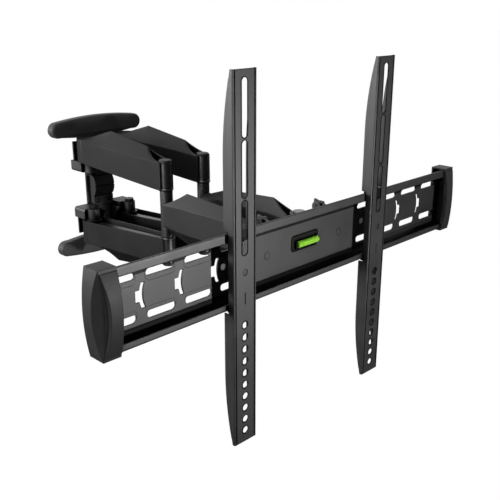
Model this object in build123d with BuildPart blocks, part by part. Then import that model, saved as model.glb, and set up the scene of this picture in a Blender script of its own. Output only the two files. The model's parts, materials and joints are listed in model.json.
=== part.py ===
from build123d import *
from math import cos, radians, sin
import os

# Full motion TV wall mount, shown pulled out from the wall.
# Frame: origin on the wall behind the plate's centre, X right, Y into the wall, Z up. Millimetres.

# Layout
pivot_reach = 36.0        # wall to the wall pivots
arm_length = 185.0        # pivot to pivot, rear arms and forearms alike
pivot_half = 34.5         # half the distance between the left and right pivots
head_reach = 40.0         # head pivots to the front of the rail's web
tilt_reach = 26.0         # head pivots to the tilt axis
bracket_stand = 10.0      # rail lips to the face of the TV brackets
left_bracket_x = -129.0   # where the TV brackets hang
right_bracket_x = 116.0

# Fits
slip = 0.3                # between pieces that pass each other
running = 0.05            # radial, pin in bush
seat = 0.02               # radial, pressed pieces
open_play = 0.4           # radial, at the pivot where the linkage is opened

# Wall plate and covers
plate_t = 3.0
bar_z = 95.0              # height of the two bars above and below the centre
column_width = 46.0
lag_spacing = 120.0
lag_slot = 22.0
lag_width = 8.4
cover_width = 166.0
cover_height = 24.0
cover_arch = 5.0
cover_depth = 14.0
cover_round = 5.0
cover_wall = 2.0

# Pivot brackets on the wall plate
hub_low = 47.0            # lower end of the upper arm's wall hub
hub_high = 74.5
ear_t = 16.5              # thick ear on the inner side of the hub
ear_r = 9.5
ear_half = 48.5           # half width over both ears
ear_front = 31.0          # straight part of the ears, from the wall
ear_round = 4.0
ear_hollow = 20.5         # hollow between the ears
ear_back_half = 44.0      # half width of the bracket's back plate
back_t = 3.0
back_low = 36.0           # back plate starts here
gusset_x = 12.0           # inner face of the gussets between the ears
gusset_t = 3.0
gusset_low = 65.0
gusset_out = 39.0         # reach from the wall, at the two ends
gusset_in = 16.0

# Pivot pins, bushes and washers
pin_r = 5.0
bush_r = 7.0
bush_length = 12.0
pin_head_r = 8.0
pin_head_t = 4.5
low_head_t = 2.7          # flat head at the far end of a pin
washer_t = 1.0
washer_over = 0.6         # elbow washers beyond the shaft

# Column cover
column_cover_width = 36.0
column_cover_depth = 12.0
column_cover_bulge = 6.0
column_screw_x = 11.0
column_cover_half = 33.0
column_rib = 1.6
column_screw_drop = 24.75
block_drop = 33.0         # lower block under the ribbed cover
block_deep = 9.0
cover_screw_r = 4.0

# Rear arms
wall_hub_r = 13.0
elbow_r = 9.0
elbow_low = 34.0          # lower end of the upper arm's elbow hub
elbow_high = 72.0
elbow_gap = 0.5           # cover's lower edge above the hub's end
bar_t = 10.0
rear_bar_height = 18.0
bar_rise = 4.0            # bar above the cover's lower edge
cap_t = 4.5
shell_t = 2.2
roof_t = 2.9              # shell measured upright at the ridge
rear_round = 18.5         # rounded wall end of the cover
round_in = 5.0            # where the straight sides leave the rounded end
round_taper = 0.15
rear_peak = 101.0         # height of the roof's peak
rear_peak_at = 61.0       # distance of the peak from the wall pivot
rear_peak_half = 17.0
rear_wall_fold = 83.0     # where the side turns into the roof, at the wall end
rear_wall_ridge = 84.5
rear_fold = 78.0          # the same, at the peak
rear_end = 90.0           # height of the ridge where the elbow cut starts
rear_end_at = 147.0
rear_end_fold = 75.0
rear_end_half = 13.5
elbow_half = 11.6
elbow_cut = 73.0          # height where the elbow cut meets the shaft
cut_middle_at = 161.6     # a point half way down the elbow cut
cut_middle = 79.5
elbow_past = 2.0          # cover's end beyond the elbow axis

# Forearms
fore_hub = 33.0           # half height of the elbow hub
head_hub = 20.0           # half height of the head hub
fore_bar_half = 12.0
fore_start = 5.0          # cover's ends from the pivots
fore_start_half = 11.5
fore_start_fold = 14.5
fore_fold = 17.5
fore_peak = 36.3
fore_peak_at = 45.0
fore_peak_half = 13.0
fore_end = 31.0
fore_end_at = 134.0
fore_end_half = 12.6
fore_low = 19.6           # ridge over the low end, under the yoke
fore_low_in = 17.0
fore_cut_at = 22.0        # a point half way down the curved cut
fore_cut = 23.0

# Tilt head
yoke_t = 3.5
yoke_gap = 0.5            # head hub to the yoke's flanges
yoke_back = 14.0          # head pivots to the yoke's web
yoke_edge = 3.0           # flanges beyond the head hubs
yoke_slot_in = 12.0       # slots in the web, from the ears
yoke_slot = 10.0
tilt_ear_x = 47.0         # inner face of the yoke's ears
tilt_ear_t = 3.5
tilt_boss_r = 8.0
lock_r = 34.0             # lock bolt's distance from the tilt axis
lock_angle = 14.0         # behind the upright
tilt_down = 15.0
tilt_up = 5.0
bolt_r = 4.0
bolt_head_r = 7.0
bolt_head_t = 4.0
tilt_plate_width = 150.0
tilt_plate_height = 70.0
tilt_plate_t = 3.0
tilt_corner = 7.0
tilt_ear_low = 6.0        # tilt plate's ears below and above the lock bolts
tilt_ear_high = 9.0
tilt_spare = 1.0          # degrees of slot beyond the tilt
rivet_x = 67.0
rivet_r = 4.0
rivet_head_r = 4.6
rivet_proud = 0.25
rivet_tail_r = 6.0
rivet_back = 1.5

# Rail
rail_length = 615.0
rail_height = 90.0
rail_z = 3.0
rail_depth = 16.0
rail_t = 2.0
lip_height = 8.2
trough_r = 11.0
bend_r = 2.0
slot_first = 123.5
slot_pitch = 51.0
slot_count = 4
slot_length = 37.0
slot_width = 12.0
slot_corner = 4.5
slot_rows = 21.0          # half the distance between the slot rows
key_length = 28.0
key_width = 5.0
key_bow = 3.0
key_tab = 13.0
key_tab_out = 7.0

# Rail end caps
cap_length = 21.0
cap_over = 2.0            # above, below and outside the rail
cap_back = 4.4            # behind the front of the rail's web
cap_bulge = 3.5           # front face, at half height
cap_end_bulge = 5.0       # outer end, at half height
cap_wall = 2.4
cap_facet = 2.0           # depth of the corner facet at half height

# Spirit level
level_width = 50.0        # opening in the web
level_height = 20.5
level_corner = 4.0
level_z = 3.8
level_gap = 1.2           # dark gap around the holder
level_flange = 2.0        # holder's flange behind the web
flange_t = 1.5
window_x = 1.8            # window in the holder, with the vial in it
window_width = 41.4
window_height = 13.0
window_drop = 1.2
window_deep = 2.6
vial_r = 4.2
vial_x = 2.9
vial_length = 37.0
vial_drop = 2.0
plug_width = 2.6          # black plug at the left end of the vial
plug_proud = 3.0
bubble_length = 11.0
bubble_r = 2.0

# TV brackets
bracket_length = 430.0
bracket_bottom = -210.0
bracket_width = 35.0
bracket_t = 1.2
bracket_tip = 4.0         # depth of the flanges at both ends
bracket_depth = 13.5      # depth beside the rail
bracket_bend = 0.45       # where the flange starts to curve, of its length
bracket_round = 1.4
low_web = 8.7             # depth of the flanges past the rail
groove_in = 3.0
groove_width = 1.0
groove_deep = 0.5
screw_slot = 61.0
screw_width = 8.4
screw_gap = 2.9
screw_top = 8.5
hole_pitch = 15.0
hole_count = 10
sight_hole_r = 3.5
sight_hole_z = 212.5
mark_z = 182.0
mark_length = 14.0
mark_width = 1.4
notch_play = 2.5
hook_width = 26.0
hook_t = 3.0
hook_drop = 6.0
hook_short = 1.0          # hook's inner leg shorter than its outer leg
latch_drop = 12.0
lock_screw_r = 3.0
lock_screw_in = 4.5       # screw's axis from the latch's plate
lock_head_r = 4.2
lock_head_low = 4.5       # screw head below the latch

# Places worked out from the sizes above
y_wall = -pivot_reach
y_elbow = y_wall - arm_length
y_head = y_elbow - arm_length
y_tilt = y_head - tilt_reach
y_web = y_head - head_reach
y_lip = y_web - rail_depth
y_face = y_lip - bracket_stand
rail_top = rail_z + rail_height / 2
rail_bottom = rail_z - rail_height / 2
flange_top = rail_top - lip_height + rail_t
sides = {"left": -1, "right": 1}

os.makedirs("parts", exist_ok=True)


def save(part, name):
    part.label = name
    export_step(part, f"parts/{name}.step")


def across(x, y):
    # Upright plane at one place along an arm, facing the TV.
    return Plane(origin=(x, y, 0), x_dir=(1, 0, 0), z_dir=(0, -1, 0))


def level_plane(x, y, z):
    return Plane(origin=(x, y, z))


def wall_plate():
    rim = cover_wall + slip
    with BuildPart() as plate:
        with BuildSketch(Plane.XZ):
            with Locations((0, bar_z), (0, -bar_z)):
                SlotOverall(cover_width - 2 * rim, cover_height - 2 * rim)
            Rectangle(column_width, 2 * bar_z)
            with GridLocations(lag_spacing, 2 * bar_z, 2, 2):
                SlotOverall(lag_slot, lag_width, mode=Mode.SUBTRACT)
        extrude(amount=plate_t)
    save(plate.part, "wall_plate")


def cover_outline(inset, up):
    # Long cap outline: straight inner edge, arched outer edge, round ends.
    half = cover_width / 2 - inset
    high = cover_height / 2 - inset
    low = -high
    top = high + cover_arch
    end_x = half - high
    with BuildLine() as outline:
        Line((-end_x, up * low), (end_x, up * low))
        ThreePointArc((end_x, up * low), (half, up * (low + high) / 2), (end_x, up * high))
        ThreePointArc((end_x, up * high), (0, up * top), (-end_x, up * high))
        ThreePointArc((-end_x, up * high), (-half, up * (low + high) / 2), (-end_x, up * low))
    make_face(outline.edges())


def wall_cover(name, up):
    with BuildPart() as cover:
        plane = Plane(origin=(0, 0, up * bar_z), x_dir=(1, 0, 0), z_dir=(0, -1, 0))
        with BuildSketch(plane):
            cover_outline(0, up)
        extrude(amount=cover_depth)
        fillet(cover.faces().sort_by(Axis.Y)[0].edges(), cover_round)
        with BuildSketch(plane):
            cover_outline(cover_wall, up)
        extrude(amount=cover_depth - cover_wall, mode=Mode.SUBTRACT)
        # The plate's column leaves the cover through its rim.
        with BuildSketch(plane):
            with Locations((0, -up * cover_height / 2)):
                Rectangle(column_width + 2 * slip, 4 * cover_wall)
        extrude(amount=plate_t + slip, mode=Mode.SUBTRACT)
    save(cover.part, name)


def ear_outline():
    # Two ears on one plate, with a hollow between them.
    depth = ear_front - plate_t
    with Locations((0, -plate_t - depth / 2)):
        Rectangle(2 * ear_half, depth)
    with Locations((-pivot_half, y_wall), (pivot_half, y_wall)):
        Circle(ear_r)
    with Locations((0, y_wall)):
        Circle(ear_hollow, mode=Mode.SUBTRACT)
    notch = pivot_reach - plate_t
    with Locations((0, y_wall + notch / 2)):
        Rectangle(column_cover_width + 2 * slip, notch, mode=Mode.SUBTRACT)
    with Locations((-pivot_half, y_wall), (pivot_half, y_wall)):
        Circle(pin_r + seat, mode=Mode.SUBTRACT)


def pivot_bracket(name, up):
    inner = hub_low - washer_t - ear_t
    root = -plate_t - back_t
    with BuildPart() as bracket:
        with BuildSketch(Plane.XY.offset(up * inner)):
            ear_outline()
        extrude(amount=up * ear_t)
        faces = bracket.faces().sort_by(Axis.X)
        nearest = 0 if up > 0 else -1
        corners = [face.edges().filter_by(Axis.Y).sort_by(Axis.Z)[nearest] for face in (faces[0], faces[-1])]
        fillet(corners, ear_round)
        with BuildSketch(Plane.XZ.offset(plate_t)):
            with Locations((0, up * (back_low + hub_high) / 2)):
                Rectangle(2 * ear_back_half, hub_high - back_low)
        extrude(amount=back_t)
        # Gussets that stand out from the back plate between the ears.
        for x in (-gusset_x - gusset_t, gusset_x):
            with BuildSketch(Plane.YZ.offset(x)):
                with BuildLine():
                    Polyline((root, up * back_low), (-gusset_out, up * back_low),
                             (-gusset_in, up * gusset_low), (root, up * gusset_low), close=True)
                make_face()
            extrude(amount=gusset_t)
    save(bracket.part, name)


def wall_pins():
    low = hub_low - washer_t - ear_t
    high = hub_high + slip
    with BuildPart() as pins:
        for x in (-pivot_half, pivot_half):
            for up in (-1, 1):
                with BuildSketch(level_plane(x, y_wall, up * (low - pin_head_t))):
                    RegularPolygon(pin_head_r, 6)
                extrude(amount=up * pin_head_t)
                with BuildSketch(level_plane(x, y_wall, up * low)):
                    Circle(pin_r)
                extrude(amount=up * (high - low))
                with BuildSketch(level_plane(x, y_wall, up * high)):
                    Circle(pin_head_r)
                extrude(amount=up * low_head_t)
    save(pins.part, "wall_pivot_bolts")


def ring(x, y, z, outer, inner, height):
    with BuildSketch(level_plane(x, y, z)) as face:
        Circle(outer)
        Circle(inner, mode=Mode.SUBTRACT)
    extrude(face.sketch, amount=height)


def wall_washers():
    with BuildPart() as washers:
        for x in (-pivot_half, pivot_half):
            ring(x, y_wall, hub_low - washer_t, wall_hub_r, pin_r + slip, washer_t)
            ring(x, y_wall, -hub_low, wall_hub_r, pin_r + slip, washer_t)
    save(washers.part, "wall_pivot_washers")


def column_cover():
    front = -plate_t - column_cover_depth
    high = column_cover_half
    with BuildPart() as cover:
        with BuildSketch(Plane.YZ):
            with BuildLine():
                Polyline((front, -high), (-plate_t, -high), (-plate_t, high),
                         (front, high), (front, high / 2))
                ThreePointArc((front, high / 2), (front - column_cover_bulge, 0), (front, -high / 2))
                Line((front, -high / 2), (front, -high))
            make_face()
        extrude(amount=column_cover_width / 2, both=True)
        # Ribs left between level grooves.
        with BuildSketch(Plane.YZ):
            with Locations(*[(front, k * high / 2) for k in (-1, 1)]):
                Rectangle(2 * column_rib, column_rib)
            with Locations((front - column_cover_bulge, 0)):
                Rectangle(2 * column_rib, column_rib)
        extrude(amount=column_cover_width / 2, both=True, mode=Mode.SUBTRACT)
        # Block that runs down between the gussets of the lower bracket.
        with BuildSketch(level_plane(0, 0, -high - block_drop)):
            with Locations((0, -plate_t - back_t - slip - block_deep / 2)):
                Rectangle(2 * (gusset_x - slip), block_deep)
        extrude(amount=block_drop + slip)
        with Locations(*[across(x, front).offset(-column_rib) for x in (-column_screw_x, column_screw_x)]):
            with Locations((0, -column_screw_drop)):
                Cylinder(cover_screw_r + slip, 4 * column_rib, mode=Mode.SUBTRACT)
    save(cover.part, "column_cover")
    with BuildPart() as screws:
        for x in (-column_screw_x, column_screw_x):
            with BuildSketch(Plane(origin=(x, front + 3 * column_rib, -column_screw_drop),
                                   x_dir=(1, 0, 0), z_dir=(0, -1, 0))):
                Circle(cover_screw_r)
            extrude(amount=2 * column_rib)
    save(screws.part, "column_cover_screws")


def rear_bottom(d):
    # Lower edge of the upper rear arm, falling towards the elbow.
    return hub_low + (elbow_low + elbow_gap - hub_low) * d / arm_length


def rear_bar(name, side, up):
    x = side * pivot_half
    with BuildPart() as bar:
        with BuildSketch(Plane.YZ.offset(x)):
            with BuildLine():
                ends = [(y_wall, 0), (y_elbow, arm_length)]
                low = [(y, up * (rear_bottom(d) + bar_rise)) for y, d in ends]
                high = [(y, up * (rear_bottom(d) + bar_rise + rear_bar_height)) for y, d in ends]
                Polyline(*low, *high[::-1], close=True)
            make_face()
        extrude(amount=bar_t / 2, both=True)
        with BuildSketch(level_plane(x, y_wall, up * hub_low)):
            Circle(wall_hub_r)
        extrude(amount=up * (hub_high - hub_low))
        with BuildSketch(level_plane(x, y_elbow, up * elbow_low)):
            Circle(elbow_r)
        extrude(amount=up * (elbow_high - elbow_low))
        with BuildSketch(level_plane(x, y_wall, 0)):
            Circle(bush_r + seat)
        extrude(amount=up * 2 * hub_high, mode=Mode.SUBTRACT)
        with BuildSketch(level_plane(x, y_elbow, 0)):
            Circle(pin_r + seat)
        extrude(amount=up * 2 * hub_high, mode=Mode.SUBTRACT)
    save(bar.part, name)


def house(x, y, up, half, low, fold, ridge):
    with BuildSketch(across(x, y)) as section:
        with BuildLine():
            Polyline((-half, up * low), (half, up * low), (half, up * fold), (0, up * ridge),
                     (-half, up * fold), close=True)
        make_face()
    return section.sketch


def rear_cover(name, side, up):
    x = side * pivot_half
    wall_half = rear_round - round_taper * round_in
    stations = [
        (round_in, wall_half, rear_wall_fold, rear_wall_ridge),
        (rear_peak_at, rear_peak_half, rear_fold, rear_peak),
        (rear_end_at, rear_end_half, rear_end_fold, rear_end),
        (arm_length + elbow_past, elbow_half, elbow_cut, rear_wall_ridge),
    ]
    inside = [(d, half - shell_t, fold - shell_t, ridge - roof_t) for d, half, fold, ridge in stations]
    inside[-1] = (arm_length + 2 * elbow_past, *inside[-1][1:])
    with BuildPart() as cover:
        loft([house(x, y_wall - d, up, half, rear_bottom(d), fold, ridge)
              for d, half, fold, ridge in stations], ruled=True)
        with BuildSketch(level_plane(x, y_wall, up * hub_low)):
            Circle(rear_round)
        extrude(amount=up * (rear_wall_fold - hub_low))
        # Hollow, open below and at the elbow.
        loft([house(x, y_wall - d, up, half, rear_bottom(d) - shell_t, fold, ridge)
              for d, half, fold, ridge in inside], ruled=True, mode=Mode.SUBTRACT)
        with BuildSketch(level_plane(x, y_wall, up * (hub_low - shell_t))):
            Circle(rear_round - shell_t)
        extrude(amount=up * (rear_wall_fold - hub_low), mode=Mode.SUBTRACT)
        with BuildSketch(level_plane(x, y_elbow, 0)):
            Circle(elbow_r + slip)
        extrude(amount=up * 2 * hub_high, mode=Mode.SUBTRACT)
        # Curved cut in front of the elbow shaft.
        with BuildSketch(Plane.YZ.offset(x)):
            start = (y_wall - rear_end_at, up * (rear_end + slip))
            middle = (y_wall - cut_middle_at, up * cut_middle)
            end = (y_elbow - 2 * elbow_past, up * elbow_cut)
            with BuildLine():
                ThreePointArc(start, middle, end)
                Polyline(end, (end[0], up * rear_peak), (start[0], up * rear_peak), start)
            make_face()
        extrude(amount=rear_round, both=True, mode=Mode.SUBTRACT)
    save(cover.part, name)


def elbow(name, side):
    x = side * pivot_half
    with BuildPart() as pin:
        with Locations((x, y_elbow, 0)):
            Cylinder(pin_r, 2 * (elbow_high + cap_t / 2))
    save(pin.part, f"elbow_pin_{name}")
    with BuildPart() as caps:
        for up in (-1, 1):
            with BuildSketch(level_plane(x, y_elbow, up * elbow_high)):
                Circle(elbow_r)
            extrude(amount=up * cap_t)
            with BuildSketch(level_plane(x, y_elbow, up * elbow_high)):
                Circle(pin_r + seat)
            extrude(amount=up * cap_t / 2, mode=Mode.SUBTRACT)
        rims = caps.edges().filter_by(GeomType.CIRCLE)
        fillet([rims.sort_by(Axis.Z)[0], rims.sort_by(Axis.Z)[-1]], cap_t / 3)
    save(caps.part, f"elbow_caps_{name}")
    with BuildPart() as washers:
        ring(x, y_elbow, fore_hub, elbow_r + washer_over, pin_r + slip, washer_t)
        ring(x, y_elbow, -fore_hub - washer_t, elbow_r + washer_over, pin_r + slip, washer_t)
    save(washers.part, f"elbow_washers_{name}")


def arm_bushes(name, side):
    # Plain bushes in the wall hubs of one rear arm.
    x = side * pivot_half
    with BuildPart() as bushes:
        for up in (-1, 1):
            for z in (hub_low, hub_high - bush_length):
                with BuildSketch(level_plane(x, y_wall, up * z)):
                    Circle(bush_r)
                    Circle(pin_r + running, mode=Mode.SUBTRACT)
                extrude(amount=up * bush_length)
    save(bushes.part, f"rear_arm_bushes_{name}")


def forearm_bar(name, side):
    x = side * pivot_half
    with BuildPart() as bar:
        with BuildSketch(Plane.YZ.offset(x)):
            with Locations((y_elbow - arm_length / 2, 0)):
                Rectangle(arm_length, 2 * fore_bar_half)
        extrude(amount=bar_t / 2, both=True)
        for y, half in ((y_elbow, fore_hub), (y_head, head_hub)):
            with Locations((x, y, 0)):
                Cylinder(elbow_r, 2 * half)
                Cylinder(bush_r + seat, 3 * half, mode=Mode.SUBTRACT)
    save(bar.part, f"forearm_bar_{name}")
    with BuildPart() as bushes:
        for y, half in ((y_elbow, fore_hub), (y_head, head_hub)):
            play = open_play if side > 0 and y == y_head else running
            ring(x, y, half - bush_length, bush_r, pin_r + play, bush_length)
            ring(x, y, -half, bush_r, pin_r + play, bush_length)
    save(bushes.part, f"forearm_bushes_{name}")


def rhomb(x, y, half, fold, ridge):
    with BuildSketch(across(x, y)) as section:
        with BuildLine():
            Polyline((-half, -fold), (0, -ridge), (half, -fold),
                     (half, fold), (0, ridge), (-half, fold), close=True)
        make_face()
    return section.sketch


def forearm_cover(name, side):
    # One moulding serves both sides, turned end for end: high end at the left elbow and right head pivot.
    x = side * pivot_half
    y_high, y_low = (y_elbow, y_head) if side < 0 else (y_head, y_elbow)
    way = (y_low - y_high) / arm_length
    stations = [
        (fore_start, fore_start_half, fore_start_fold, fore_peak - shell_t),
        (fore_peak_at, fore_peak_half, fore_fold, fore_peak),
        (fore_end_at, fore_end_half, fore_fold, fore_end),
        (arm_length - fore_low_in, fore_end_half, fore_start_fold, fore_low),
        (arm_length - fore_start, fore_start_half, fore_start_fold, fore_low),
    ]
    inside = [(d, half - shell_t, fold - shell_t, ridge - roof_t) for d, half, fold, ridge in stations]
    inside[0] = (0, *inside[0][1:])
    inside[-1] = (arm_length, *inside[-1][1:])
    with BuildPart() as cover:
        loft([rhomb(x, y_high + way * d, half, fold, ridge) for d, half, fold, ridge in stations], ruled=True)
        loft([rhomb(x, y_high + way * d, half, fold, ridge) for d, half, fold, ridge in inside],
             ruled=True, mode=Mode.SUBTRACT)
        with Locations((x, y_elbow, 0), (x, y_head, 0)):
            Cylinder(elbow_r + slip, 4 * fore_peak, mode=Mode.SUBTRACT)
        # Curved cuts at the high end, above and below.
        for up in (-1, 1):
            with BuildSketch(Plane.YZ.offset(x)):
                start = (y_high + way * fore_peak_at, up * (fore_peak + slip))
                middle = (y_high + way * fore_cut_at, up * fore_cut)
                end = (y_high, up * fore_start_fold)
                with BuildLine():
                    ThreePointArc(start, middle, end)
                    Polyline(end, (end[0], up * 2 * fore_peak), (start[0], up * 2 * fore_peak), start)
                make_face()
            extrude(amount=rear_round, both=True, mode=Mode.SUBTRACT)
    save(cover.part, f"forearm_cover_{name}")


def yoke_outline():
    depth = yoke_back
    with Locations((0, y_head - depth / 2)):
        Rectangle(2 * (pivot_half + elbow_r + yoke_edge), depth)
    with Locations((-pivot_half, y_head), (pivot_half, y_head)):
        Circle(elbow_r + yoke_edge)
    with Locations((0, y_head)):
        Circle(pivot_half - elbow_r - yoke_edge, mode=Mode.SUBTRACT)
    with Locations((-pivot_half, y_head), (pivot_half, y_head)):
        Circle(pin_r + seat, mode=Mode.SUBTRACT)


def lock_place(turn=0.0):
    angle = radians(lock_angle + turn)
    return (y_tilt + lock_r * sin(angle), lock_r * cos(angle))


def yoke():
    low = head_hub + yoke_gap
    y_back = y_head - yoke_back
    with BuildPart() as part:
        for up in (-1, 1):
            with BuildSketch(Plane.XY.offset(up * low)):
                yoke_outline()
            extrude(amount=up * yoke_t)
        with BuildSketch(Plane.XZ.offset(-y_back)):
            Rectangle(2 * (tilt_ear_x + tilt_ear_t), 2 * (low + yoke_t))
            with GridLocations(2 * (tilt_ear_x - yoke_slot_in), 0, 2, 1):
                SlotOverall(2 * low - yoke_slot_in, yoke_slot, rotation=90, mode=Mode.SUBTRACT)
        extrude(amount=yoke_t)
        # Ears that carry the tilt bolts, with the lock bolts above.
        for side in (-1, 1):
            with BuildSketch(Plane.YZ.offset(side * tilt_ear_x)):
                with BuildLine():
                    Polyline((y_back, -low), (y_tilt, -tilt_boss_r), (y_tilt, tilt_boss_r),
                             (lock_place()[0] - bolt_head_r, lock_place()[1]),
                             (y_back, lock_place()[1]), close=True)
                make_face()
                with Locations((y_tilt, 0)):
                    Circle(tilt_boss_r)
                with Locations(lock_place()):
                    Circle(bolt_head_r)
            extrude(amount=side * tilt_ear_t)
            with BuildSketch(Plane.YZ.offset(side * tilt_ear_x)):
                with Locations((y_tilt, 0), lock_place()):
                    Circle(bolt_r + seat)
            extrude(amount=side * tilt_ear_t, mode=Mode.SUBTRACT)
    save(part.part, "head_yoke")
    with BuildPart() as pins:
        for x in (-pivot_half, pivot_half):
            with Locations((x, y_head, 0)):
                Cylinder(pin_r, 2 * (low + yoke_t))
            for up in (-1, 1):
                with BuildSketch(level_plane(x, y_head, up * (low + yoke_t))):
                    Circle(pin_head_r)
                extrude(amount=up * low_head_t)
    save(pins.part, "head_pivot_pins")


def tilt_plate():
    ear_x = tilt_ear_x + tilt_ear_t + slip
    y_back = y_web + rail_t + tilt_plate_t
    with BuildPart() as plate:
        with BuildSketch(Plane.XZ.offset(-y_web - rail_t)):
            RectangleRounded(tilt_plate_width, tilt_plate_height, tilt_corner)
            with GridLocations(2 * rivet_x, 0, 2, 1):
                Circle(rivet_r + seat, mode=Mode.SUBTRACT)
            RectangleRounded(2 * (tilt_ear_x - yoke_slot_in), tilt_plate_height / 2, tilt_corner,
                             mode=Mode.SUBTRACT)
        extrude(amount=-tilt_plate_t)
        for side in (-1, 1):
            with BuildSketch(Plane.YZ.offset(side * ear_x)):
                reach = lock_place()
                with BuildLine():
                    Polyline((y_back, -tilt_plate_height / 3), (y_tilt, -tilt_boss_r),
                             (y_tilt + tilt_boss_r, 0),
                             (reach[0] + bolt_head_r, reach[1] - tilt_ear_low),
                             (reach[0] + bolt_head_r, reach[1] + tilt_ear_high),
                             (y_back, tilt_plate_height / 2), close=True)
                make_face()
                with Locations((y_tilt, 0)):
                    Circle(tilt_boss_r)
                    Circle(bolt_r + running, mode=Mode.SUBTRACT)
                # Arc slot about the tilt axis for the lock bolt.
                turns = (-tilt_up - tilt_spare, (tilt_down - tilt_up) / 2, tilt_down + tilt_spare)
                with BuildLine(mode=Mode.PRIVATE) as path:
                    ThreePointArc(*[lock_place(turn) for turn in turns])
                SlotArc(path.edges()[0], 2 * (bolt_r + slip), mode=Mode.SUBTRACT)
            extrude(amount=side * tilt_ear_t)
    save(plate.part, "tilt_plate")


def tilt_bolts():
    inner = tilt_ear_x
    outer = tilt_ear_x + 2 * tilt_ear_t + slip
    for name, place in (("tilt_pivot_bolts", (y_tilt, 0)), ("tilt_lock_bolts", lock_place())):
        with BuildPart() as bolts:
            for side in (-1, 1):
                plane = Plane(origin=(side * inner, *place), x_dir=(0, 1, 0), z_dir=(side, 0, 0))
                with BuildSketch(plane):
                    Circle(bolt_r)
                extrude(amount=outer - inner)
                with BuildSketch(plane.offset(outer - inner)):
                    Circle(bolt_r)
                extrude(amount=slip)
                with BuildSketch(plane.offset(outer - inner + slip)):
                    RegularPolygon(bolt_head_r, 6)
                extrude(amount=bolt_head_t)
        save(bolts.part, name)


def rail():
    lip_y = y_lip + rail_t
    web_y = y_web + rail_t
    with BuildPart() as part:
        with BuildSketch(Plane.YZ):
            with BuildLine():
                Polyline((y_lip, rail_top), (lip_y, rail_top), (lip_y, flange_top), (web_y, flange_top))
                Line((web_y, flange_top), (web_y, rail_bottom))
                Polyline((web_y, rail_bottom), (y_lip, rail_bottom), (y_lip, rail_bottom + lip_height),
                         (lip_y, rail_bottom + lip_height), (lip_y, rail_bottom + rail_t),
                         (y_web, rail_bottom + rail_t), (y_web, flange_top - rail_t),
                         (y_lip, flange_top - rail_t), (y_lip, rail_top))
            make_face()
        extrude(amount=rail_length / 2, both=True)
        runs = part.edges().filter_by(Axis.X)

        def run_at(y, z):
            return runs.sort_by_distance(Vertex(0, y, z))[0]

        fillet([run_at(y_web, rail_bottom + rail_t)], trough_r)
        runs = part.edges().filter_by(Axis.X)
        fillet([run_at(web_y, rail_bottom)], trough_r + rail_t)
        runs = part.edges().filter_by(Axis.X)
        fillet([run_at(web_y, flange_top), run_at(y_lip, flange_top - rail_t), run_at(y_lip, rail_bottom)],
               bend_r + rail_t / 2)
        # Slots, and bowed key slots with a square tab between them.
        with BuildSketch(Plane.XZ.offset(-y_web)):
            for side in (-1, 1):
                for k in range(slot_count):
                    with Locations((side * (slot_first + k * slot_pitch), rail_z)):
                        with GridLocations(slot_length, 2 * slot_rows, 1, 2):
                            RectangleRounded(slot_length, slot_width, slot_corner)
                for k in range(slot_count):
                    x = side * (slot_first + (k + 0.5) * slot_pitch)
                    with BuildLine():
                        inner_x = x - side * key_width / 2
                        outer_x = x + side * key_width / 2
                        half = key_length / 2
                        ThreePointArc((inner_x - side * key_bow, rail_z + half), (inner_x, rail_z),
                                      (inner_x - side * key_bow, rail_z - half))
                        Line((inner_x - side * key_bow, rail_z - half),
                             (outer_x - side * key_bow, rail_z - half))
                        ThreePointArc((outer_x - side * key_bow, rail_z - half), (outer_x, rail_z),
                                      (outer_x - side * key_bow, rail_z + half))
                        Line((outer_x - side * key_bow, rail_z + half),
                             (inner_x - side * key_bow, rail_z + half))
                    make_face()
                    if k < slot_count - 1:
                        with Locations((x + side * key_tab_out / 2, rail_z)):
                            Rectangle(key_tab_out, key_tab)
            with Locations((0, level_z)):
                RectangleRounded(level_width, level_height, level_corner)
            with GridLocations(2 * rivet_x, 0, 2, 1):
                Circle(rivet_r + seat)
        extrude(amount=-rail_t, mode=Mode.SUBTRACT)
    save(part.part, "rail")


def rivets():
    with BuildPart() as part:
        for x in (-rivet_x, rivet_x):
            with BuildSketch(across(x, y_web + rail_t + tilt_plate_t)):
                Circle(rivet_r)
            extrude(amount=rail_t + tilt_plate_t)
            with BuildSketch(across(x, y_web)):
                Circle(rivet_head_r)
            extrude(amount=rivet_proud)
            with BuildSketch(across(x, y_web + rail_t + tilt_plate_t)):
                Circle(rivet_tail_r)
            extrude(amount=-rivet_back)
    save(part.part, "rail_rivets")


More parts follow.
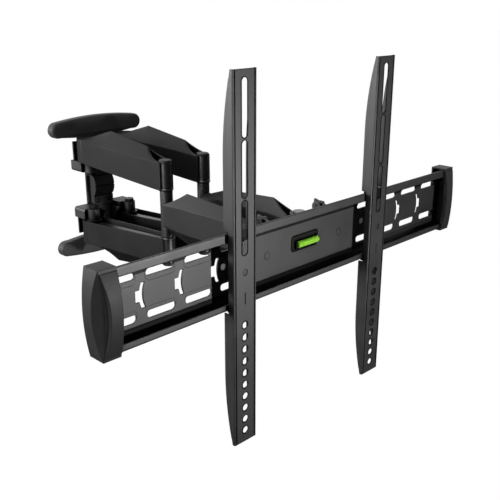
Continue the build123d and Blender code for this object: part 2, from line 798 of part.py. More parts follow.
def end_cap(name, side):
    end_x = rail_length / 2 + cap_over + cap_wall
    inner_x = end_x - cap_length
    front = y_lip - cap_over
    back = y_web + cap_back
    low = rail_bottom - cap_over
    high = rail_top + cap_over
    mid = (low + high) / 2
    half = (high - low) / 2
    deep = back - front
    far = 3 * cap_end_bulge

    def outline(inset):
        f, b = front + inset, back - inset
        with BuildLine() as edge:
            Polyline((f, low + inset), (b, low + inset), (b, high - inset), (f, high - inset))
            ThreePointArc((f, high - inset), (f - cap_bulge, mid), (f, low + inset))
        make_face(edge.edges())

    with BuildPart() as cap:
        with BuildSketch(Plane.YZ.offset(side * inner_x)):
            outline(0)
        extrude(amount=side * (cap_length + cap_end_bulge))
        # Bowed outer end.
        with BuildSketch(Plane.XZ.offset(-front)):
            with BuildLine():
                ThreePointArc((side * end_x, high), (side * (end_x + cap_end_bulge), mid),
                              (side * end_x, low))
                Polyline((side * end_x, low), (side * (end_x + far), low), (side * (end_x + far), high),
                         (side * end_x, high))
            make_face()
        extrude(amount=2 * deep, both=True, mode=Mode.SUBTRACT)
        # Lens shaped facet on the outer front corner.
        diagonal = Plane(origin=(side * end_x, front, mid), x_dir=(side, -1, 0), z_dir=(1, side, 0))
        with BuildSketch(diagonal):
            with BuildLine():
                ThreePointArc((0, half), (-cap_facet, 0), (0, -half))
                Polyline((0, -half), (far, -half), (far, half), (0, half))
            make_face()
        extrude(amount=2 * deep, both=True, mode=Mode.SUBTRACT)
        # Hollow, and the pocket that takes the rail's end.
        with BuildSketch(Plane.YZ.offset(side * inner_x)):
            outline(cap_wall)
            with Locations(((y_lip + y_web + rail_t) / 2, rail_z)):
                Rectangle(rail_depth + rail_t + 2 * slip, rail_height + 2 * slip)
        extrude(amount=side * (rail_length / 2 - inner_x + slip), mode=Mode.SUBTRACT)
    save(cap.part, f"end_cap_{name}")


def level_slot(y, width, height, x=0, drop=0):
    with BuildSketch(Plane.XZ.offset(-y)) as outline:
        with Locations((x, level_z - drop)):
            RectangleRounded(width, height, level_corner / 2)
    return outline.sketch


def spirit_level():
    back = y_web + rail_t
    wide, tall = level_width - 2 * level_gap, level_height - 2 * level_gap
    with BuildPart() as holder:
        extrude(level_slot(y_web, wide, tall), amount=-rail_t - flange_t)
        extrude(level_slot(back + seat, level_width + 2 * level_flange, level_height + 2 * level_flange),
                amount=-flange_t)
        extrude(level_slot(y_web, window_width, window_height, window_x, window_drop), amount=-window_deep,
                mode=Mode.SUBTRACT)
        plug_x = vial_x - (vial_length + plug_width) / 2 - running
        with BuildSketch(Plane.XZ.offset(plug_proud - y_web)):
            with Locations((plug_x, level_z - vial_drop)):
                Rectangle(plug_width, 2 * vial_r)
        extrude(amount=-plug_proud - window_deep)
    save(holder.part, "level_holder")
    axis = Location((vial_x, y_web + window_deep - running - vial_r, level_z - vial_drop), (0, 90, 0))
    with BuildPart() as vial:
        with Locations(axis):
            Cylinder(vial_r, vial_length)
            Cylinder(bubble_r + running, bubble_length + 2 * running, mode=Mode.SUBTRACT)
    save(vial.part, "level_vial")
    with BuildPart() as bubble:
        with Locations(axis):
            Cylinder(bubble_r, bubble_length)
    save(bubble.part, "level_bubble")


def bracket_side(low, high):
    # Flange seen from the side: deepest beside the rail, curving to the tip at the far end.
    tip_first = abs(low - bracket_bottom) < 1
    near, far = (high, low) if tip_first else (low, high)
    deep, tip = y_face + bracket_depth, y_face + bracket_tip
    bend = near + bracket_bend * (far - near)
    with BuildLine() as outline:
        Polyline((y_face + bracket_t / 2, far), (y_face + bracket_t / 2, near), (deep, near), (deep, bend))
        TangentArc((deep, bend), (tip, far), tangent=(0, far - near))
        Line((tip, far), (y_face + bracket_t / 2, far))
    make_face(outline.edges())


def tv_bracket(name, x):
    top = bracket_bottom + bracket_length
    half = bracket_width / 2
    notch_low = rail_bottom - notch_play
    notch_high = rail_top + notch_play
    with BuildPart() as bracket:
        with BuildSketch(Plane.XZ.offset(-y_face - bracket_t)):
            with Locations((x, bracket_bottom + bracket_length / 2)):
                Rectangle(bracket_width, bracket_length)
        extrude(amount=bracket_t)
        for side in (-1, 1):
            edge = Plane.YZ.offset(x + side * (half - bracket_t / 2))
            for low, high in ((bracket_bottom, notch_low), (notch_high, top)):
                with BuildSketch(edge):
                    bracket_side(low, high)
                extrude(amount=bracket_t / 2, both=True)
            # Low web that joins the flanges past the rail.
            with BuildSketch(edge):
                with Locations((y_face + low_web / 2, rail_z)):
                    Rectangle(low_web, rail_height + 2 * notch_play)
            extrude(amount=bracket_t / 2, both=True)
        corners = bracket.faces().sort_by(Axis.Y)[0].edges().filter_by(Axis.Z)
        fillet(corners, bracket_round)
        with BuildSketch(Plane.XZ.offset(-y_face)):
            with Locations((x, bracket_bottom + bracket_length / 2)):
                with GridLocations(2 * (half - groove_in), 0, 2, 1):
                    Rectangle(groove_width, bracket_length)
        extrude(amount=-groove_deep, mode=Mode.SUBTRACT)
        with BuildSketch(Plane.XZ.offset(-y_face)):
            for k in range(3):
                middle = top - screw_top - screw_slot / 2 - k * (screw_slot + screw_gap)
                with Locations((x, middle)):
                    SlotOverall(screw_slot, screw_width, rotation=90)
            for k in range(hole_count):
                with Locations((x, bracket_bottom + (k + 1) * hole_pitch)):
                    Circle(screw_width / 2)
            with Locations((x, bracket_bottom + sight_hole_z)):
                Circle(sight_hole_r)
        extrude(amount=-bracket_t, mode=Mode.SUBTRACT)
        # Short pressed mark below the sight hole.
        with BuildSketch(Plane.XZ.offset(-y_face)):
            with Locations((x, bracket_bottom + mark_z)):
                SlotOverall(mark_length, mark_width, rotation=90)
        extrude(amount=-groove_deep, mode=Mode.SUBTRACT)
    save(bracket.part, f"tv_bracket_{name}")


def bracket_hooks(name, x):
    # Hook over the rail's top lip, inside the bracket.
    inner = y_face + bracket_t
    behind = y_lip + rail_t + slip
    with BuildPart() as hook:
        with BuildSketch(Plane.YZ.offset(x)):
            with BuildLine():
                Polyline((inner, rail_top - hook_drop), (inner + hook_t, rail_top - hook_drop),
                         (inner + hook_t, rail_top + slip), (behind, rail_top + slip),
                         (behind, rail_top - hook_drop + hook_short),
                         (behind + hook_t, rail_top - hook_drop + hook_short),
                         (behind + hook_t, rail_top + slip + hook_t),
                         (inner, rail_top + slip + hook_t), close=True)
            make_face()
        extrude(amount=hook_width / 2, both=True)
    save(hook.part, f"rail_hook_{name}")
    # Latch below the rail's bottom lip, drawn up by a screw.
    low = rail_bottom - slip - hook_t
    with BuildPart() as latch:
        with BuildSketch(Plane.YZ.offset(x)):
            with BuildLine():
                Polyline((inner, low - latch_drop), (inner + hook_t, low - latch_drop),
                         (inner + hook_t, low), (behind + hook_t, low),
                         (behind + hook_t, low + hook_t), (inner, low + hook_t), close=True)
            make_face()
        extrude(amount=hook_width / 2, both=True)
        with BuildSketch(Plane.XY.offset(low)):
            with Locations((x, inner + hook_t + lock_screw_in)):
                Circle(lock_screw_r + seat)
        extrude(amount=hook_t, mode=Mode.SUBTRACT)
    save(latch.part, f"lock_latch_{name}")
    with BuildPart() as screw:
        with BuildSketch(level_plane(x, inner + hook_t + lock_screw_in, low - lock_head_low)):
            Circle(lock_screw_r)
        extrude(amount=lock_head_low + hook_t)
        with BuildSketch(level_plane(x, inner + hook_t + lock_screw_in, low - lock_head_low)):
            Circle(lock_head_r)
        extrude(amount=-hook_t)
    save(screw.part, f"lock_screw_{name}")


wall_plate()
wall_cover("top_cover", 1)
wall_cover("bottom_cover", -1)
pivot_bracket("upper_pivot_bracket", 1)
pivot_bracket("lower_pivot_bracket", -1)
wall_pins()
wall_washers()
column_cover()
for side_name, side_sign in sides.items():
    for level_name, level_sign in (("upper", 1), ("lower", -1)):
        rear_bar(f"{level_name}_arm_bar_{side_name}", side_sign, level_sign)
        rear_cover(f"{level_name}_arm_cover_{side_name}", side_sign, level_sign)
    elbow(side_name, side_sign)
    arm_bushes(side_name, side_sign)
    forearm_bar(side_name, side_sign)
    forearm_cover(side_name, side_sign)
    end_cap(side_name, side_sign)
yoke()
tilt_plate()
tilt_bolts()
rail()
rivets()
spirit_level()
for side_name, bracket_x in (("left", left_bracket_x), ("right", right_bracket_x)):
    tv_bracket(side_name, bracket_x)
    bracket_hooks(side_name, bracket_x)
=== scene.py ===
import json
import math
import bmesh
import bpy
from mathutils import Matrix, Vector


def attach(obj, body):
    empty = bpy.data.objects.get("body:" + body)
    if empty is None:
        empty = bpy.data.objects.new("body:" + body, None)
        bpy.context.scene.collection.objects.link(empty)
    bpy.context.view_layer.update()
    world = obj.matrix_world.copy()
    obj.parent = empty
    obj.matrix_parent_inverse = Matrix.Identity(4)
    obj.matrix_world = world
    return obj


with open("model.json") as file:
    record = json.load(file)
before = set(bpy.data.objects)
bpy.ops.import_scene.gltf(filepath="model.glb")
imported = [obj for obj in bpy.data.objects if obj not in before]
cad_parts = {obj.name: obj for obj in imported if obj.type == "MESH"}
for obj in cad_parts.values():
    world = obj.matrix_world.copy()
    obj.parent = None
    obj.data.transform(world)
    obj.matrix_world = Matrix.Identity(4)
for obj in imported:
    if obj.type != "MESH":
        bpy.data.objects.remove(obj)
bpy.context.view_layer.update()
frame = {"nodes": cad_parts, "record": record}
nodes = frame["nodes"]
scene = bpy.context.scene
mm = 0.001
sides = {"left": -1, "right": 1}


def nodeMiddle(name, axis):
    places = [corner[axis] for corner in nodes[name].bound_box]
    return (min(places) + max(places)) / 2


bracketMiddles = {name: nodeMiddle("tv_bracket_" + name, 0) for name in sides}


# shared surface effects, each one node group

def newGroup(name, inputs, outputs):
    group = bpy.data.node_groups.new(name, "ShaderNodeTree")
    for label, default in inputs:
        socket = group.interface.new_socket(label, in_out="INPUT", socket_type="NodeSocketFloat")
        socket.default_value = default
    for label, kind in outputs:
        group.interface.new_socket(label, in_out="OUTPUT", socket_type=kind)
    start = group.nodes.new("NodeGroupInput")
    end = group.nodes.new("NodeGroupOutput")
    return group, start, end


def addNode(tree, kind, **values):
    node = tree.nodes.new(kind)
    for key, value in values.items():
        setattr(node, key, value)
    return node


def mathNode(tree, operation, first, second=None):
    node = addNode(tree, "ShaderNodeMath", operation=operation)
    for socket, value in zip(node.inputs, (first, second)):
        if value is None:
            continue
        if isinstance(value, (int, float)):
            socket.default_value = value
        else:
            tree.links.new(value, socket)
    return node.outputs[0]


def noiseNode(tree, place, scale, detail=2.0, roughness=0.5):
    node = addNode(tree, "ShaderNodeTexNoise")
    node.inputs["Detail"].default_value = detail
    node.inputs["Roughness"].default_value = roughness
    tree.links.new(place, node.inputs["Vector"])
    if isinstance(scale, (int, float)):
        node.inputs["Scale"].default_value = scale
    else:
        tree.links.new(scale, node.inputs["Scale"])
    return node.outputs["Fac"]


def objectPlace(tree):
    place = addNode(tree, "ShaderNodeSeparateXYZ")
    tree.links.new(addNode(tree, "ShaderNodeTexCoord").outputs["Object"], place.inputs[0])
    return {axis: place.outputs[axis] for axis in "XYZ"}


grainLook = {"fine": 0.6, "coarse": 0.4, "coarser": 0.3}


def makeGrain():
    # fine skin of a coat or moulding: height for the bump, slow tone for colour and gloss
    group, start, end = newGroup("skinGrain", [("Grain Size", 1400.0), ("Blotch Size", 35.0)],
                                 [("Height", "NodeSocketFloat"), ("Tone", "NodeSocketFloat")])
    coords = addNode(group, "ShaderNodeTexCoord").outputs["Object"]
    fine = noiseNode(group, coords, start.outputs["Grain Size"], detail=3.0, roughness=0.55)
    coarseSize = mathNode(group, "MULTIPLY", start.outputs["Grain Size"], grainLook["coarser"])
    coarse = noiseNode(group, coords, coarseSize, detail=1.0)
    height = mathNode(group, "ADD", mathNode(group, "MULTIPLY", fine, grainLook["fine"]),
                      mathNode(group, "MULTIPLY", coarse, grainLook["coarse"]))
    tone = noiseNode(group, coords, start.outputs["Blotch Size"], detail=4.0, roughness=0.6)
    group.links.new(height, end.inputs["Height"])
    group.links.new(tone, end.inputs["Tone"])
    return group


edgeMaskLook = {"gain": 4.0, "breakUp": 1.6}


def makeEdges():
    # mask along hard edges, broken up by noise, from the difference of a rounded and a flat normal; it
    # places wear, a painted highlight and a painted dark line on the edges
    group, start, end = newGroup("edgeWearAndLight", [("Width", 0.0008), ("Break Size", 220.0)],
                                 [("Mask", "NodeSocketFloat"), ("Round Normal", "NodeSocketVector")])
    bevel = addNode(group, "ShaderNodeBevel", samples=4)
    group.links.new(start.outputs["Width"], bevel.inputs["Radius"])
    flat = addNode(group, "ShaderNodeNewGeometry").outputs["Normal"]
    dot = addNode(group, "ShaderNodeVectorMath", operation="DOT_PRODUCT")
    group.links.new(bevel.outputs[0], dot.inputs[0])
    group.links.new(flat, dot.inputs[1])
    turned = mathNode(group, "SUBTRACT", 1.0, dot.outputs["Value"])
    edge = mathNode(group, "MULTIPLY", turned, edgeMaskLook["gain"])
    coords = addNode(group, "ShaderNodeTexCoord").outputs["Object"]
    broken = noiseNode(group, coords, start.outputs["Break Size"], detail=3.0)
    mask = mathNode(group, "MULTIPLY", edge, mathNode(group, "MULTIPLY", broken, edgeMaskLook["breakUp"]))
    clean = addNode(group, "ShaderNodeClamp")
    group.links.new(mask, clean.inputs[0])
    group.links.new(clean.outputs[0], end.inputs["Mask"])
    group.links.new(bevel.outputs[0], end.inputs["Round Normal"])
    return group


def makeCavity():
    # dark in grooves, bends and seams, where light and gloss both fade
    group, start, end = newGroup("cavityShade", [("Reach", 0.003), ("Depth", 1.5)],
                                 [("Open", "NodeSocketFloat")])
    hidden = addNode(group, "ShaderNodeAmbientOcclusion", samples=8)
    group.links.new(start.outputs["Reach"], hidden.inputs["Distance"])
    openness = mathNode(group, "POWER", hidden.outputs["AO"], start.outputs["Depth"])
    group.links.new(openness, end.inputs["Open"])
    return group


rimLook = {"radius": 0.0049, "blur": 0.0008, "shift": 0.0007, "keep": 0.1,
           "groove": 0.0145, "grooveHalf": 0.0005,
           "rows": ({"middle": 0.181, "pitch": 0.0639, "straight": 0.0263,
                     "centre": 0.11715, "half": 0.0959},
                    {"middle": -0.195, "pitch": 0.015, "straight": 0.0,
                     "centre": -0.1275, "half": 0.075})}


def makeRims():
    # dark line round a bracket's slots and holes, and in its two grooves
    group, start, end = newGroup("rimShade", [("Middle", 0.0)], [("Open", "NodeSocketFloat")])
    place = objectPlace(group)
    middle = start.outputs["Middle"]

    def away(value, other):
        return mathNode(group, "ABSOLUTE", mathNode(group, "SUBTRACT", value, other))

    def along(row):
        steps = mathNode(group, "SUBTRACT", place["Z"], row["middle"])
        steps = mathNode(group, "PINGPONG", steps, row["pitch"] / 2)
        return mathNode(group, "MAXIMUM", mathNode(group, "SUBTRACT", steps, row["straight"]), 0.0)

    def outside(distance, edge):
        clear = mathNode(group, "SUBTRACT", distance, edge)
        return mathNode(group, "MINIMUM", mathNode(group, "MULTIPLY", clear, 1.0 / rimLook["blur"]), 1.0)

    across = away(place["X"], mathNode(group, "SUBTRACT", middle, rimLook["shift"]))
    across = mathNode(group, "MULTIPLY", across, across)
    shade = outside(away(away(place["X"], middle), rimLook["groove"]), rimLook["grooveHalf"])
    for row in rimLook["rows"]:
        lengthwise = along(row)
        distance = mathNode(group, "ADD", mathNode(group, "MULTIPLY", lengthwise, lengthwise), across)
        line = outside(mathNode(group, "SQRT", distance), rimLook["radius"])
        beyond = mathNode(group, "GREATER_THAN", away(place["Z"], row["centre"]), row["half"])
        shade = mathNode(group, "MINIMUM", shade, mathNode(group, "MAXIMUM", line, beyond))
    group.links.new(mathNode(group, "MAXIMUM", shade, rimLook["keep"]), end.inputs["Open"])
    return group


grainGroup = makeGrain()
edgeGroup = makeEdges()
cavityGroup = makeCavity()
rimGroup = makeRims()
print("surface effects ready")


# finishes

noiseSpan = (0.3, 0.7)


def newMaterial(name):
    material = bpy.data.materials.new(name)
    material.use_nodes = True
    return material, material.node_tree, material.node_tree.nodes["Principled BSDF"]


def mixColour(tree, amount, low, high):
    node = addNode(tree, "ShaderNodeMix", data_type="RGBA")
    tree.links.new(amount, node.inputs["Factor"])
    for socket, value in zip(node.inputs[6:8], (low, high)):  # its two colour sockets
        if isinstance(value, tuple):
            socket.default_value = (*value, 1.0)
        else:
            tree.links.new(value, socket)
    return node.outputs[2]  # its colour


def mapRange(tree, value, low, high):
    node = addNode(tree, "ShaderNodeMapRange")
    tree.links.new(value, node.inputs["Value"])
    node.inputs["From Min"].default_value, node.inputs["From Max"].default_value = noiseSpan
    node.inputs["To Min"].default_value = low
    node.inputs["To Max"].default_value = high
    return node.outputs[0]


def foldShade(tree, fold):
    # dark below and above two heights, less so low on the right, apart from what stands in front of a plane
    place = objectPlace(tree)
    start, stop = fold["brighter"]
    ramp = mathNode(tree, "MULTIPLY", mathNode(tree, "SUBTRACT", place["X"], start), 1.0 / (stop - start))
    ramp = mathNode(tree, "MINIMUM", mathNode(tree, "MAXIMUM", ramp, fold["keepLow"]), fold["keepRight"])
    over = mathNode(tree, "MAXIMUM", mathNode(tree, "GREATER_THAN", place["Z"], fold["below"]), ramp)
    under = mathNode(tree, "MAXIMUM", mathNode(tree, "LESS_THAN", place["Z"], fold["above"]), fold["keep"])
    front = mathNode(tree, "LESS_THAN", place["Y"], fold["behind"])
    return mathNode(tree, "MAXIMUM", mathNode(tree, "MINIMUM", over, under), front)


def coatedFinish(name, look):
    material, tree, shader = newMaterial(name)
    shader.inputs["IOR"].default_value = look["ior"]
    shader.inputs["Specular IOR Level"].default_value = look["specular"]
    grain = addNode(tree, "ShaderNodeGroup", node_tree=grainGroup)
    grain.inputs["Grain Size"].default_value = look["grainSize"]
    grain.inputs["Blotch Size"].default_value = look["blotchSize"]
    edges = addNode(tree, "ShaderNodeGroup", node_tree=edgeGroup)
    edges.inputs["Width"].default_value = look["edgeWidth"]
    cavity = addNode(tree, "ShaderNodeGroup", node_tree=cavityGroup)
    cavity.inputs["Reach"].default_value = look["cavityReach"]
    cavity.inputs["Depth"].default_value = look["cavityDepth"]
    body = mixColour(tree, mapRange(tree, grain.outputs["Tone"], 0.0, 1.0), look["dark"], look["light"])
    # edges take a lighter colour, partly wear and partly a painted highlight
    wearAndHighlight = mathNode(tree, "MULTIPLY", edges.outputs["Mask"], look["edgeAmount"])
    wearAndHighlight = mixColour(tree, wearAndHighlight, body, look["edgeColour"])
    openness = cavity.outputs["Open"]
    if "fold" in look:
        openness = mathNode(tree, "MULTIPLY", openness, foldShade(tree, look["fold"]))
    if "rimMiddle" in look:
        rims = addNode(tree, "ShaderNodeGroup", node_tree=rimGroup)
        rims.inputs["Middle"].default_value = look["rimMiddle"]
        openness = mathNode(tree, "MULTIPLY", openness, rims.outputs["Open"])
    # painted shade: hollows, painted folds and rims, and a line along hard edges lose the coat's gloss and
    # show dark metal's instead; hollows, folds and rims also take a painted shade colour
    # painted shade: a dark line along hard edges
    edgeShading = mathNode(tree, "MULTIPLY", edges.outputs["Mask"], look["edgeShade"])
    shine = mathNode(tree, "MULTIPLY", openness, mathNode(tree, "SUBTRACT", 1.0, edgeShading))
    shine = mathNode(tree, "MULTIPLY", shine, 1.0 - look["metallic"])
    tree.links.new(mathNode(tree, "SUBTRACT", 1.0, shine), shader.inputs["Metallic"])
    tree.links.new(mixColour(tree, openness, look["paintedShadeColour"], wearAndHighlight), shader.inputs["Base Color"])
    gloss = mapRange(tree, grain.outputs["Tone"], look["rough"][0], look["rough"][1])
    tree.links.new(gloss, shader.inputs["Roughness"])
    bump = addNode(tree, "ShaderNodeBump")
    bump.inputs["Strength"].default_value = look["bump"]
    bump.inputs["Distance"].default_value = look["bumpDepth"]
    tree.links.new(grain.outputs["Height"], bump.inputs["Height"])
    tree.links.new(edges.outputs["Round Normal"], bump.inputs["Normal"])
    tree.links.new(bump.outputs[0], shader.inputs["Normal"])
    return material


baseLook = {"paintedShadeColour": (0.003, 0.003, 0.003), "metallic": 0.0, "bumpDepth": 0.0002, "cavityDepth": 1.5}
coatedSteelLook = dict(
    baseLook, dark=(0.0085, 0.0085, 0.0087), light=(0.0115, 0.0115, 0.0117), rough=(0.48, 0.56), ior=1.8,
    specular=0.52, grainSize=1500.0, blotchSize=26.0, bump=0.25, edgeWidth=0.0012, edgeAmount=0.25,
    edgeColour=(0.05, 0.05, 0.052), edgeShade=0.75, cavityReach=0.003)
armPlasticLook = dict(
    baseLook, dark=(0.010, 0.010, 0.0103), light=(0.014, 0.014, 0.0143), rough=(0.48, 0.56), ior=1.5,
    specular=0.30, grainSize=2400.0, blotchSize=18.0, bump=0.3, edgeWidth=0.0010, edgeAmount=0.35,
    edgeColour=(0.05, 0.05, 0.052), edgeShade=0.6, cavityReach=0.004)
capPlasticLook = dict(
    baseLook, dark=(0.021, 0.021, 0.0214), light=(0.028, 0.028, 0.0284), rough=(0.50, 0.57), ior=1.5,
    specular=0.42, grainSize=2600.0, blotchSize=22.0, bump=0.2, edgeWidth=0.0012, edgeAmount=0.3,
    edgeColour=(0.04, 0.04, 0.042), edgeShade=0.5, cavityReach=0.003)
pinSteelLook = dict(
    baseLook, dark=(0.028, 0.028, 0.0284), light=(0.036, 0.036, 0.0364), rough=(0.28, 0.34), ior=1.8,
    specular=0.9, grainSize=900.0, blotchSize=60.0, bump=0.08, edgeWidth=0.0007, edgeAmount=0.5,
    edgeColour=(0.06, 0.06, 0.062), edgeShade=0.4, cavityReach=0.002)
boltSteelLook = dict(
    baseLook, dark=(0.030, 0.030, 0.032), light=(0.055, 0.054, 0.053), paintedShadeColour=(0.006, 0.006, 0.006),
    rough=(0.36, 0.46), ior=1.5, specular=0.5, metallic=0.7, grainSize=700.0, blotchSize=90.0, bump=0.1,
    edgeWidth=0.0006, edgeAmount=0.6, edgeColour=(0.16, 0.16, 0.16), edgeShade=0.4, cavityReach=0.002)
bushPlasticLook = dict(
    baseLook, dark=(0.007, 0.007, 0.007), light=(0.010, 0.010, 0.010), paintedShadeColour=(0.002, 0.002, 0.002),
    rough=(0.40, 0.50), ior=1.5, specular=0.4, grainSize=2000.0, blotchSize=80.0, bump=0.1,
    bumpDepth=0.0001, edgeWidth=0.0004, edgeAmount=0.1, edgeColour=(0.03, 0.03, 0.03), edgeShade=0.3,
    cavityReach=0.001)
# painted shade: wider, deeper cavity darkening and a strong painted dark line along the edges of the bracket
# channels
channelSteelLook = dict(coatedSteelLook, cavityReach=0.020, cavityDepth=2.2, edgeWidth=0.0018,
                        edgeAmount=0.1, edgeShade=0.95)
skirtSteelLook = dict(channelSteelLook, edgeWidth=0.0002, edgeAmount=0.0, edgeShade=0.0)
sillSteelLook = dict(coatedSteelLook, edgeAmount=0.0, edgeShade=0.0)
# painted shade: wider cavity darkening on the rail, and painted folds dark low on the web and under the top
# lip, with painted light low on the right
railSteelLook = dict(coatedSteelLook, cavityReach=0.012, cavityDepth=1.8,
                     fold={"below": -0.0277, "above": 0.0274, "behind": -0.4605, "keep": 0.2,
                           "keepLow": 0.05, "keepRight": 0.65, "brighter": (0.11, 0.15)})
# painted shade: the hooks are a near-black, low-gloss copy of the coated steel, for the shade seen through
# the bracket slots
hookShadedSteelLook = dict(coatedSteelLook, dark=(0.003, 0.003, 0.003), light=(0.004, 0.004, 0.004),
                     specular=0.1, edgeAmount=0.0)
# painted shade: wider, deeper cavity darkening between the wall-side parts
pivotSteelLook = dict(coatedSteelLook, cavityReach=0.022, cavityDepth=2.4)
nutSteelLook = dict(boltSteelLook, dark=(0.012, 0.012, 0.0124), light=(0.022, 0.022, 0.0222),
                    edgeAmount=0.3, cavityReach=0.016, cavityDepth=2.0)
hubSteelLook = dict(coatedSteelLook, rough=(0.34, 0.39), specular=0.9, edgeAmount=0.1)
# painted shade: wide, deep cavity darkening in the lower arms' troughs and between the two lower arms
innerBarLook = dict(hubSteelLook, cavityReach=0.03, cavityDepth=3.0)
innerPlasticLook = dict(armPlasticLook, cavityReach=0.07, cavityDepth=2.0)
forearmPlasticLook = dict(armPlasticLook, specular=0.50)
# painted light: the wall covers are a lighter copy of the cap plastic, for the light that falls on them
wallLitPlasticLook = dict(capPlasticLook, dark=(0.052, 0.052, 0.0528), light=(0.068, 0.068, 0.0688))
pocketPlasticLook = dict(capPlasticLook, dark=(0.004, 0.004, 0.0041), light=(0.006, 0.006, 0.0061),
                         specular=0.22)
browPlasticLook = dict(capPlasticLook, specular=0.32)

finishes = {
    "powder_coated_steel": coatedFinish("coatedSteel", coatedSteelLook),
    "arm_plastic": coatedFinish("armPlastic", armPlasticLook),
    "cover_plastic": coatedFinish("capPlastic", capPlasticLook),
    "pin_steel": coatedFinish("pinSteel", pinSteelLook),
    "bolt_steel": coatedFinish("boltSteel", boltSteelLook),
    "bush_plastic": coatedFinish("bushPlastic", bushPlasticLook),
}

vialLook = {"rough": 0.12, "ior": 1.45, "streakSize": 160.0, "paler": 1.15,
            "liquid": {"colour": (0.42, 0.90, 0.08), "clear": 0.35},
            "bubble": {"colour": (0.50, 0.72, 0.18), "clear": 0.2}}


def vialFinish(name, look):
    material, tree, shader = newMaterial(name)
    shader.inputs["IOR"].default_value = vialLook["ior"]
    shader.inputs["Transmission Weight"].default_value = look["clear"]
    grain = addNode(tree, "ShaderNodeGroup", node_tree=grainGroup)
    grain.inputs["Blotch Size"].default_value = vialLook["streakSize"]
    pale = tuple(min(1.0, vialLook["paler"] * c) for c in look["colour"])
    tree.links.new(mixColour(tree, grain.outputs["Tone"], look["colour"], pale), shader.inputs["Base Color"])
    shader.inputs["Roughness"].default_value = vialLook["rough"]
    return material


finishes["vial_plastic"] = vialFinish("vialLiquid", vialLook["liquid"])
finishes["bubble"] = vialFinish("vialBubble", vialLook["bubble"])

hubFinish = coatedFinish("hubSteel", hubSteelLook)
pivotFinish = coatedFinish("pivotSteel", pivotSteelLook)
wallLitFinish = coatedFinish("wallPlasticPaintedLight", wallLitPlasticLook)
browFinish = coatedFinish("browPlastic", browPlasticLook)
sillFinish = coatedFinish("sillSteel", sillSteelLook)
skirtFinish = coatedFinish("skirtSteel", skirtSteelLook)

# nodes that differ from their slot, single ones and then pairs
nodeFinishes = {
    "rail": coatedFinish("railSteel", railSteelLook),
    "rail_rivets": finishes["powder_coated_steel"],
    "level_holder": coatedFinish("pocketPlastic", pocketPlasticLook),
    "wall_pivot_bolts": coatedFinish("nutSteel", nutSteelLook),
    "lower_arm_cover_right": coatedFinish("innerPlastic", innerPlasticLook),
    "upper_pivot_bracket": pivotFinish,
    "lower_pivot_bracket": pivotFinish,
    "top_cover": wallLitFinish,
    "bottom_cover": wallLitFinish,
}
pairFinishes = {
    "rail_hook_": coatedFinish("hookSteelPaintedShade", hookShadedSteelLook),
    "upper_arm_bar_": hubFinish,
    "lower_arm_bar_": coatedFinish("innerBarSteel", innerBarLook),
    "forearm_bar_": hubFinish,
    "forearm_cover_": coatedFinish("forearmPlastic", forearmPlasticLook),
}
for name in sides:
    channelLook = dict(channelSteelLook, rimMiddle=bracketMiddles[name])
    nodeFinishes["tv_bracket_" + name] = coatedFinish("channelSteel" + name.title(), channelLook)
    for stem, finish in pairFinishes.items():
        nodeFinishes[stem + name] = finish

for part in frame["record"]["subparts"]:
    mesh = nodes[part["node"]].data
    mesh.materials.clear()
    mesh.materials.append(nodeFinishes.get(part["node"], finishes[part["material_slot"]]))
print("finishes on", len(nodes), "nodes")


# thin trim in millimetres, skinned over rings of corners

def addRing(bm, points):
    return [bm.verts.new([c * mm for c in point]) for point in points]


def joinRings(bm, rings, closed=False):
    # capped at both ends unless the last ring meets the first
    following = rings[1:] + rings[:1] if closed else rings[1:]
    for low, high in zip(rings, following):
        for a in range(len(low)):
            b = (a + 1) % len(low)
            bm.faces.new((low[a], low[b], high[b], high[a]))
    if not closed:
        bm.faces.new(rings[0])
        bm.faces.new(rings[-1])


def addTrim(name, bm, finish, body="screen_rail"):
    bmesh.ops.recalc_face_normals(bm, faces=bm.faces)
    mesh = bpy.data.meshes.new(name)
    bm.to_mesh(mesh)
    bm.free()
    piece = bpy.data.objects.new(name, mesh)
    scene.collection.objects.link(piece)
    mesh.materials.append(finish)
    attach(piece, body)


# sills that narrow the rail's slots
sillLook = {"first": 123.5, "pitch": 51.0, "count": 4, "half": 18.5, "lap": 1.2, "corner": 4.5,
            "round": 3.2, "depths": (-446.1, -444.0), "steps": 6, "fills": ((18.0, 22.6), (-12.0, -15.2))}


def arcPoints(x, z, radius, start, end, steps):
    angles = [math.radians(start + (end - start) * k / steps) for k in range(steps + 1)]
    return [(x + radius * math.cos(a), z + radius * math.sin(a)) for a in angles]


def sillOutline(edge, rim):
    # from the slot's old edge to its new rim, drawn as for a lower edge and turned over for an upper one
    turn = 1.0 if rim > edge else -1.0
    half, lap, corner, small, steps = (sillLook[key] for key in ("half", "lap", "corner", "round", "steps"))
    height = abs(rim - edge)
    points = arcPoints(-half + corner, corner, corner + lap, 180.0, 270.0, steps)
    points += arcPoints(half - corner, corner, corner + lap, 270.0, 360.0, steps)
    points += [(half + lap, height + small)]
    points += arcPoints(half - small, height + small, small, 0.0, -90.0, steps)
    points += arcPoints(-half + small, height + small, small, 270.0, 180.0, steps)
    points += [(-half - lap, height + small)]
    return [(x, edge + turn * z) for x, z in points]


sills = bmesh.new()
for side in sides.values():
    for k in range(sillLook["count"]):
        middle = side * (sillLook["first"] + k * sillLook["pitch"])
        for edge, rim in sillLook["fills"]:
            outline = [(middle + x, z) for x, z in sillOutline(edge, rim)]
            joinRings(sills, [addRing(sills, [(x, y, z) for x, z in outline]) for y in sillLook["depths"]])
addTrim("slotSills", sills, sillFinish)

